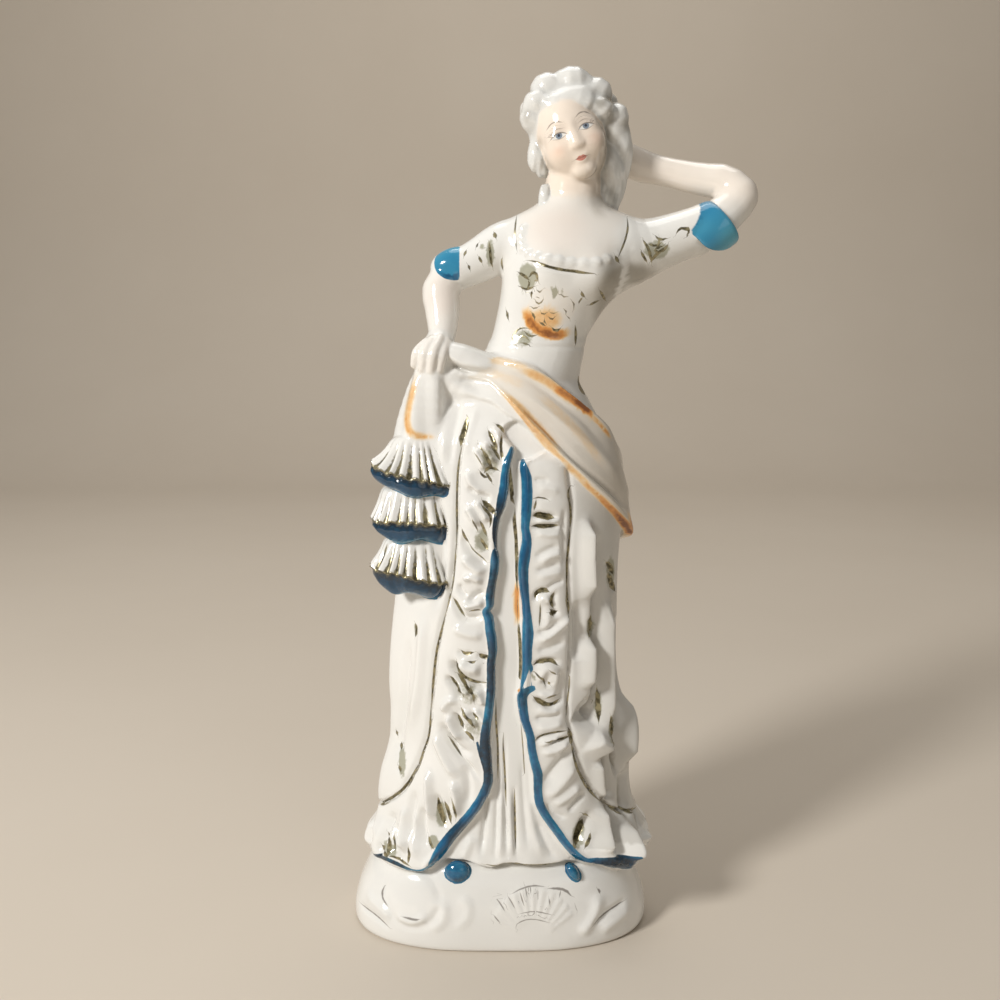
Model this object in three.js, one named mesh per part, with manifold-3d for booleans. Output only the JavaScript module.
// Glazed porcelain lady on an oval mound, slip cast in one piece.
// Millimetres, +Z up, front towards -Y, the viewer's right towards +X.
import * as THREE from "three";
import { mergeVertices } from "three/addons/utils/BufferGeometryUtils.js";
import Module from "manifold-3d";

const wasm = await Module();
wasm.setup();

// Mound: half width, half depth and height of its wall.
const BASE_A = 35.6;
const BASE_B = 20.6;
const BASE_TOP = 19.6;
const BASE_SEGMENTS = 48;
const BASE_SQUARENESS = 2.5;
// Height, then the wall's share of the half width and of the half depth.
const BASE_WALL = [
  [0, 0.98, 0.975], [1, 0.995, 0.995], [3, 1, 1], [7, 0.98, 0.975],
  [12, 0.925, 0.93], [16.5, 0.85, 0.865], [BASE_TOP, 0.72, 0.76],
];

// Gown from hem to waist: height, centre x, half width, half depth.
const GOWN = [
  [15, 1, 28.6, 15.2], [17.8, 1, 31.4, 18.2], [22.7, 1.5, 32.6, 18.2], [28, 1.6, 30.4, 17.2],
  [33, 1.3, 29.9, 16.8], [38, 1.5, 29.3, 16.6], [43, 2.4, 28.7, 16.4], [48, 2.3, 28.8, 16.3],
  [53, 1.7, 28.2, 16.2], [58, 1, 27.4, 16.1], [68, 0.9, 26.7, 15.9], [78, 1, 26.4, 15.7],
  [88, 1.2, 26.2, 15.5], [98, 1.6, 26.3, 15.3], [106, 1.7, 26.2, 15], [112, 1.5, 25.3, 14.5],
  [117, 1.2, 23.4, 13.8], [121, 1.7, 21.2, 12.9], [125.5, 2.6, 18, 11.6], [130, 4, 14.2, 10],
  [134.6, 7, 11.7, 8.9], [139, 8.6, 10.8, 8.2],
];
const GOWN_LEVELS = [
  15, 17.8, 20.5, 24, 28.5, 34, 40, 47, 55, 63, 71, 79, 87, 95, 103, 110.5, 117, 123, 129.5, 136,
];
const GOWN_SEGMENTS = 64;
const FRONT_CROWDING = 0.36;

// Front opening: x of the free edge and of the seam of each ruched border, by height.
const EDGE_LEFT = [
  [17, -17.5], [21.4, -15.3], [25.7, -12.2], [30.4, -8], [35.4, -4.6], [42, -3], [60, -2.6],
  [80, -2.1], [100, 0], [113, 1.8], [119, 2.8],
];
const SEAM_LEFT = [
  [28.4, -30], [30.8, -26.3], [34.1, -22.8], [38, -19.8], [43.2, -17.3], [50, -16], [66, -15],
  [79, -11.9], [95, -9.7], [110, -9.3], [122, -6.7],
];
const EDGE_RIGHT = [
  [16, 26.5], [20.3, 19.7], [23.1, 16.2], [28, 12.2], [33, 9.1], [42, 8], [55, 5.2], [66, 6.3],
  [86, 5.4], [108, 6], [117, 4.4],
];
const SEAM_RIGHT = [
  [23.5, 32], [29.2, 25.9], [33, 22.9], [36, 20.9], [41, 18.4], [47.4, 17.2], [52, 15.6],
  [78, 15.8], [104, 15.5], [114, 12.5],
];
const PUFF = 2;
const PANEL_RECESS = 1.4;
const BORDER_TOP = 121;
const HEM_FLARE = 1.1;
const HEM_PLEATS = 30;

// Vertical folds: angle from the front in degrees, width in degrees, depth in mm.
const FOLDS = [
  [54, 6, -1.5], [68, 7, 1], [47, 5, 0.8], [112, 12, -1.6], [140, 10, 1.3], [164, 11, -1.5],
  [-168, 10, 1.3], [-146, 11, -1.5], [-120, 12, 1.2], [-98, 10, -0.9],
];
const FOLD_TOP = 112;

// Sash round the hips, by angle from the front: upper and lower edge heights.
const SASH = [
  [-62, 136, 129], [-35, 135.6, 127.2], [-12, 134.8, 124.6], [4, 133.3, 121], [20, 131.6, 116.5],
  [38, 128.4, 107.5], [55, 124.4, 101.8], [72, 119.6, 97.2], [88, 115, 93.4], [100, 112, 92.4],
  [118, 112.5, 95.5], [145, 116, 100.5], [172, 120, 105], [205, 124.5, 110.5], [240, 129, 117],
  [268, 131.5, 122],
];
const SASH_LIFT = 1.7;
// Loose end at the hip: angles between which it stands out, and how far.
const SASH_END = [66, 90, 122];
const SASH_END_LIFT = 2;

// Bodice: height, centre x, half width, half depth in front, half depth behind.
const TORSO = [
  [131, 5.4, 12.6, 9.2, 9.2], [136, 7.6, 11.2, 8.6, 8.4], [140, 9, 10.9, 8.3, 8],
  [144, 10.7, 11.6, 8.7, 8], [148, 12.4, 12.5, 9.9, 8.1], [152, 13.9, 13.5, 11, 8.2],
  [156, 15, 14.4, 11.2, 8.3], [160, 15.8, 15, 9.9, 8.3], [163.5, 16, 14.4, 8.3, 7.9],
  [166.8, 16, 12, 7.3, 7], [168.5, 15.9, 9, 6.9, 6.5], [170.5, 16.2, 6.6, 6.3, 6.1],
];
const TORSO_SEGMENTS = 26;

// Limbs: centre line points followed by the radius there.
const ARM_DOWN = [
  [7, 1, 161.6, 5.8], [1, 1, 160.2, 5.5], [-4, 0.6, 157.4, 5], [-9.6, 0, 154.4, 4.5],
  [-13.2, -0.6, 150.6, 4.5], [-13, -2.2, 145.6, 3.9], [-13, -4.6, 140.4, 3.1],
  [-14.2, -6.8, 136.2, 3],
];
const CUFF_DOWN = [[-7.8, 0.3, 156.2, 3.8], [-9.8, 0.1, 155.8, 4.3], [-12.4, -0.1, 155.2, 3.6], [-13.8, -0.2, 155, 2]];
const ARM_UP = [
  [20, 1, 156.6, 8.6], [28, 1, 158.5, 7.9], [35, 0.8, 160.4, 6.1], [43, 0.4, 163.2, 5.3],
  [49.5, 0.7, 166, 4.8], [53.4, 1.2, 168.8, 4.6], [55.4, 1.6, 170.6, 3.2],
];
const FOREARM_UP = [
  [55.6, 1.2, 168, 2.8], [55.2, 1.9, 170.8, 4.1], [51.6, 3.6, 174.3, 4.1], [45.8, 5.4, 175.6, 3.6],
  [38.5, 6.8, 177.4, 3.2], [33, 7.4, 178.7, 3.7], [26, 7.4, 181.6, 4],
];
const CUFF_UP = [[45.4, 0.4, 161.5, 5], [46.8, 0.4, 162.7, 5.8], [50.4, 0.6, 166, 6], [51.2, 0.7, 166.7, 5]];
const FIST = [[-13.6, -6.2, 138.6, 3.2], [-14.8, -7.4, 136, 4.2], [-16, -8, 133, 3.6], [-16.6, -8, 131.4, 2]];
const FINGER_TIPS = [[-18.6, -8.8, 137.4], [-19.2, -9.4, 135.4], [-19, -9.8, 133.4], [-18, -10, 131.8]];
const FINGER_KNUCKLE = [-14.6, -10.2, 137];
const FINGER_DROP = 1.5;
const FINGER_R = 1.35;
const NECK = [[16.6, 0.6, 164, 7.4], [16.3, 0.2, 170, 7.1], [16.6, -0.6, 175, 6.6], [17, -0.6, 180, 5.8]];
const NOSE = [[14.9, -9, 185.2, 0.7], [16.2, -10.5, 181.9, 1.1], [16.6, -9.4, 180.6, 0.8]];

// Head and dressed hair: centre, then half sizes.
const HEAD_TILT = 20;
const HEAD = [15.5, -1.6, 183.3];
const HEAD_SIZE = [7.8, 8.6, 10.8];
const HAIR_LOBES = [
  [15.3, 2, 188.7, 9.1, 9.2, 9.8], [17.8, 5.5, 183.6, 9, 6.8, 10], [9.6, -1.2, 185.6, 5, 6, 5.8],
  [25.3, -0.4, 187.6, 3.9, 4.4, 4.1], [11.2, -4.2, 191.4, 4.5, 4.2, 4], [15.8, -4.6, 193.6, 4.4, 4, 4.2],
  [21.4, -2.6, 191.2, 4.1, 4.6, 3.9],
];
const SIDE_LOCK = [[8.6, -1.6, 183, 2.8], [8.7, -1.8, 179.2, 2.6], [9.8, -1.4, 176.2, 1.6]];
const LONG_TRESS = [[26.4, 0.6, 185, 3.4], [26.2, 2, 178.6, 3.1], [25.8, 2, 172, 2.5], [24.4, 1.2, 166, 1.8]];

// Toes of the shoes below the hem: centre, then half sizes.
const TOES = [[-10, -17.6, 18.4, 2.7, 2.6, 2.3], [16.8, -15.6, 18.8, 2.3, 2.4, 2]];

// Overskirt bunched below the hand and the three pleated flounces that hang from it.
const BUNCH = [[-15, -7.2, 134, 3.8], [-16, -6.6, 127, 4.9], [-17.2, -5.6, 119, 6.2], [-18.4, -5, 111, 7]];
const GATHER = [[-15, -7.4, 134, 3.4], [-9, -7.4, 132.4, 4.3], [-2, -5.8, 131, 5.2], [5, -3.8, 130, 6]];
const GATHER_LOW = [[-15, -7, 131, 3.2], [-10, -6.8, 127, 4.6], [-5, -6.4, 122, 5.4], [0, -5, 117, 6]];
// Flounces: centre x and y, top, lower edge, radius at both, slant, then foot and radius of the lining.
const TIERS = [
  [-19, -5.6, 118, 108.8, 5.4, 10.4, 0.28, 105.4, 8], [-19.3, -5.6, 107, 98.7, 7.6, 10.2, 0.06, 94.8, 7.4],
  [-19.3, -5.6, 95.4, 86.6, 7.2, 10.6, 0.17, 82.4, 6],
];
const TIER_DEPTH = 0.92;
const LINING_SHARE = 0.9;
const LINING_SLANT = 0.5;
const FLARE_CURVE = 1.5;
const TIER_PLEATS = 7;
const PLEAT_RISE = 0.7;
const TIER_SEGMENTS = 28;

const RAD = Math.PI / 180;

function smooth(edge0, edge1, value) {
  const t = Math.min(1, Math.max(0, (value - edge0) / (edge1 - edge0)));
  return t * t * (3 - 2 * t);
}

// Row of a table at a height or angle, eased between its neighbours.
function row(table, value) {
  const last = table.length - 1;
  if (value <= table[0][0]) {
    return table[0].slice(1);
  }
  if (value >= table[last][0]) {
    return table[last].slice(1);
  }
  const i = table.findIndex((entry) => entry[0] > value) - 1;
  const before = table[Math.max(0, i - 1)];
  const after = table[Math.min(last, i + 2)];
  const [p, q] = [table[i], table[i + 1]];
  const span = q[0] - p[0];
  const t = (value - p[0]) / span;
  return p.slice(1).map((start, k) => {
    const end = q[k + 1];
    const slopeIn = ((end - before[k + 1]) / (q[0] - before[0])) * span;
    const slopeOut = ((after[k + 1] - start) / (after[0] - p[0])) * span;
    const t2 = t * t;
    const t3 = t2 * t;
    return start * (2 * t3 - 3 * t2 + 1) + slopeIn * (t3 - 2 * t2 + t)
      + end * (3 * t2 - 2 * t3) + slopeOut * (t3 - t2);
  });
}

function toManifold(geometry) {
  const bare = geometry.clone();
  bare.deleteAttribute("normal");
  bare.deleteAttribute("uv");
  const merged = mergeVertices(bare, 1e-5);
  return new wasm.Manifold(new wasm.Mesh({
    numProp: 3,
    vertProperties: new Float32Array(merged.attributes.position.array),
    triVerts: new Uint32Array(merged.index.array),
  }));
}

// Closed skin through rings of equal count, capped at both ends.
function loft(rings) {
  const count = rings[0].length;
  const points = rings.flat();
  const faces = [];
  for (let i = 0; i + 1 < rings.length; i += 1) {
    for (let j = 0; j < count; j += 1) {
      const k = (j + 1) % count;
      const [a, b, c, d] = [i * count + j, i * count + k, (i + 1) * count + j, (i + 1) * count + k];
      faces.push(a, b, c, b, d, c);
    }
  }
  for (const [ring, turned] of [[0, true], [rings.length - 1, false]]) {
    const middle = new THREE.Vector3();
    rings[ring].forEach((p) => middle.addScaledVector(p, 1 / count));
    const hub = points.push(middle) - 1;
    for (let j = 0; j < count; j += 1) {
      const [a, b] = [ring * count + j, ring * count + (j + 1) % count];
      faces.push(...(turned ? [b, a, hub] : [a, b, hub]));
    }
  }
  const geometry = new THREE.BufferGeometry().setFromPoints(points);
  geometry.setIndex(faces);
  return outward(geometry);
}

// Turns a closed skin right side out when its signed volume is negative.
function outward(geometry) {
  const index = geometry.index.array;
  const at = (i) => new THREE.Vector3().fromBufferAttribute(geometry.attributes.position, i);
  let volume = 0;
  for (let i = 0; i < index.length; i += 3) {
    volume += at(index[i]).dot(at(index[i + 1]).cross(at(index[i + 2])));
  }
  if (volume < 0) {
    for (let i = 0; i < index.length; i += 3) {
      [index[i], index[i + 1]] = [index[i + 1], index[i]];
    }
  }
  return toManifold(geometry);
}

// Round member along a curve; each point carries its radius.
function limb(path, segments, steps) {
  const curve = new THREE.CatmullRomCurve3(path.map((p) => new THREE.Vector3(p[0], p[1], p[2])), false, "centripetal");
  const frames = curve.computeFrenetFrames(steps, false);
  const rings = [];
  for (let i = 0; i <= steps; i += 1) {
    const t = i / steps;
    const centre = curve.getPointAt(t);
    const f = curve.getUtoTmapping(t) * (path.length - 1);
    const k = Math.min(path.length - 2, Math.floor(f));
    const radius = THREE.MathUtils.lerp(path[k][3], path[k + 1][3], f - k);
    const ring = [];
    for (let j = 0; j < segments; j += 1) {
      const angle = (2 * Math.PI * j) / segments;
      ring.push(centre.clone()
        .addScaledVector(frames.normals[i], radius * Math.cos(angle))
        .addScaledVector(frames.binormals[i], radius * Math.sin(angle)));
    }
    rings.push(ring);
  }
  return loft(rings);
}

function ovoid(lobe, around, up, tilt = 0) {
  const geometry = new THREE.SphereGeometry(1, around, up);
  geometry.scale(lobe[3], lobe[4], lobe[5]);
  geometry.rotateX(Math.PI / 2);
  geometry.scale(1, lobe[4] / lobe[5], lobe[5] / lobe[4]);
  geometry.rotateY(-tilt * RAD);
  geometry.translate(lobe[0], lobe[1], lobe[2]);
  return toManifold(geometry);
}

function squared(share) {
  return Math.sign(share) * Math.abs(share) ** (2 / BASE_SQUARENESS);
}

function mound() {
  return loft(BASE_WALL.map(([z, wide, deep]) => {
    const ring = [];
    for (let j = 0; j < BASE_SEGMENTS; j += 1) {
      const angle = (2 * Math.PI * j) / BASE_SEGMENTS;
      const across = squared(Math.sin(angle));
      const along = squared(Math.cos(angle));
      ring.push(new THREE.Vector3(BASE_A * wide * across, -BASE_B * deep * along, z));
    }
    return ring;
  }));
}

// Height added to the gown by ruched borders, hem flounce, panel and folds.
function drapery(x, z, angle, front) {
  let lift = 0;
  const degrees = angle / RAD;
  for (const [at, width, depth] of FOLDS) {
    const gap = Math.abs(degrees - at);
    const near = Math.min(gap, 360 - gap) / width;
    lift += depth * Math.exp(-near * near) * smooth(FOLD_TOP, FOLD_TOP - 22, z);
  }
  const seamLeft = row(SEAM_LEFT, z)[0];
  const seamRight = row(SEAM_RIGHT, z)[0];
  if (front && z < BORDER_TOP) {
    const left = row(EDGE_LEFT, z)[0];
    const right = row(EDGE_RIGHT, z)[0];
    const fade = smooth(BORDER_TOP, BORDER_TOP - 8, z);
    const puffLeft = smooth(seamLeft - 1, seamLeft + 3, x) * smooth(left + 1.3, left - 0.3, x);
    const puffRight = smooth(seamRight + 1, seamRight - 3, x) * smooth(right - 1.3, right + 0.3, x);
    const panel = smooth(left - 0.6, left + 1.2, x) * smooth(right + 0.6, right - 1.2, x);
    lift += fade * (PUFF * Math.max(puffLeft, puffRight) - PANEL_RECESS * panel);
  }
  const hem = smooth(29, 20, z) * (front && x > row(EDGE_LEFT, z)[0] && x < row(EDGE_RIGHT, z)[0] ? 0 : 1);
  return lift + hem * (HEM_FLARE + 0.7 * Math.cos(HEM_PLEATS * angle));
}

function gownPoint(angle, z, extra = 0, plain = false) {
  const [cx, a, b] = row(GOWN, z);
  const x = cx + a * Math.sin(angle);
  const lift = (plain ? 0 : drapery(x, z, angle, Math.cos(angle) > 0)) + extra;
  return new THREE.Vector3(cx + (a + lift) * Math.sin(angle), -(b + lift) * Math.cos(angle), z);
}

function gown() {
  return loft(GOWN_LEVELS.map((z) => {
    const ring = [];
    for (let j = 0; j < GOWN_SEGMENTS; j += 1) {
      const u = (2 * Math.PI * j) / GOWN_SEGMENTS - Math.PI;
      ring.push(gownPoint(u - FRONT_CROWDING * Math.sin(u), z));
    }
    return ring;
  }));
}

// Band of cloth wound about the hips: four points outside, two buried.
function sash() {
  const rings = [];
  const [first, last, step] = [SASH[0][0], SASH[SASH.length - 1][0], 11];
  for (let degrees = first; degrees <= last; degrees += step) {
    const [top, low] = row(SASH, degrees);
    const [from, most, to] = SASH_END;
    const loose = SASH_END_LIFT * smooth(from, most, degrees) * smooth(to, most, degrees);
    const at = (share, out) => gownPoint(degrees * RAD, THREE.MathUtils.lerp(top, low, share), out, true);
    rings.push([
      at(0.02, -2.5), at(0, SASH_LIFT * 0.5), at(0.3, SASH_LIFT * 0.9), at(0.52, SASH_LIFT * 0.7),
      at(0.76, SASH_LIFT * 1.2 + loose * 0.5), at(1, SASH_LIFT + loose), at(0.98, -2.5),
    ]);
  }
  return loft(rings);
}

function bodice() {
  return loft(TORSO.map(([z, cx, a, front, back]) => {
    const ring = [];
    for (let j = 0; j < TORSO_SEGMENTS; j += 1) {
      const angle = (2 * Math.PI * j) / TORSO_SEGMENTS;
      const depth = Math.cos(angle) > 0 ? front : back;
      ring.push(new THREE.Vector3(cx + a * Math.sin(angle), -depth * Math.cos(angle), z));
    }
    return ring;
  }));
}

// Pleated flounce: pleats stand out towards its lower edge, which runs down to the right.
function tier([cx, cy, top, edge, narrow, wide, slant, foot, footRadius]) {
  const flared = (down) => THREE.MathUtils.lerp(narrow, wide, down ** FLARE_CURVE);
  const skirt = [0, 0.35, 0.75, 1].map((down) => [THREE.MathUtils.lerp(top, edge, down), flared(down), down]);
  const profile = [
    [top, narrow * 0.1, 0], ...skirt, [edge, wide * LINING_SHARE, 1], [foot, footRadius, LINING_SLANT],
  ];
  return loft(profile.map(([z, radius, pleat], level) => {
    const ring = [];
    for (let j = 0; j < TIER_SEGMENTS; j += 1) {
      const angle = (2 * Math.PI * j) / TIER_SEGMENTS;
      const wave = level > skirt.length ? 0 : pleat;
      const out = radius + wave * PLEAT_RISE * Math.cos(2 * TIER_PLEATS * angle);
      const x = out * Math.sin(angle);
      ring.push(new THREE.Vector3(cx + x, cy - TIER_DEPTH * out * Math.cos(angle), z - slant * x * pleat));
    }
    return ring;
  }));
}

function fingers() {
  const [kx, ky, kz] = FINGER_KNUCKLE;
  return FINGER_TIPS.map(([x, y, z], i) => limb([
    [kx - 0.2 * i, ky, kz - FINGER_DROP * i, FINGER_R * 0.9],
    [(kx + x) / 2 - 0.4, Math.min(ky, y) - 1, (kz - FINGER_DROP * i + z) / 2, FINGER_R],
    [x, y + 1.2, z, FINGER_R * 0.8],
  ], 6, 3));
}

function head() {
  const [sx, sy, sz] = HEAD_SIZE;
  const skull = ovoid([...HEAD, sx, sy, sz], 18, 12, HEAD_TILT);
  const hair = HAIR_LOBES.map((lobe, i) => ovoid(lobe, i < 2 ? 16 : 10, i < 2 ? 10 : 6, HEAD_TILT));
  return [skull, ...hair, limb(SIDE_LOCK, 7, 3), limb(LONG_TRESS, 7, 5), limb(NOSE, 6, 3),
    limb(NECK, 14, 4)];
}

function joined(pieces) {
  return pieces.reduce((whole, piece) => whole.add(piece));
}

const figure = joined([
  mound(), gown(), sash(), bodice(),
  limb(ARM_DOWN, 12, 10), limb(CUFF_DOWN, 12, 4), limb(ARM_UP, 12, 9), limb(FOREARM_UP, 12, 9),
  limb(CUFF_UP, 12, 4),
  limb(FIST, 12, 5), ...fingers(), ...head(),
  limb(BUNCH, 12, 5), limb(GATHER, 9, 4), limb(GATHER_LOW, 8, 4),
  ...TIERS.map(tier), ...TOES.map((toe) => ovoid(toe, 10, 6)),
]);

function toMesh(manifold, name) {
  const { vertProperties, triVerts, numProp } = manifold.getMesh();
  const geometry = new THREE.BufferGeometry();
  geometry.setAttribute("position", new THREE.BufferAttribute(new Float32Array(vertProperties), numProp));
  geometry.setIndex(new THREE.BufferAttribute(new Uint32Array(triVerts), 1));
  const glaze = new THREE.MeshStandardMaterial({ color: 0xe9e6df, roughness: 0.14, metalness: 0 });
  const mesh = new THREE.Mesh(geometry, glaze);
  mesh.name = name;
  return mesh;
}

const lady = new THREE.Group();
lady.add(toMesh(figure, "figurine"));
export default lady;
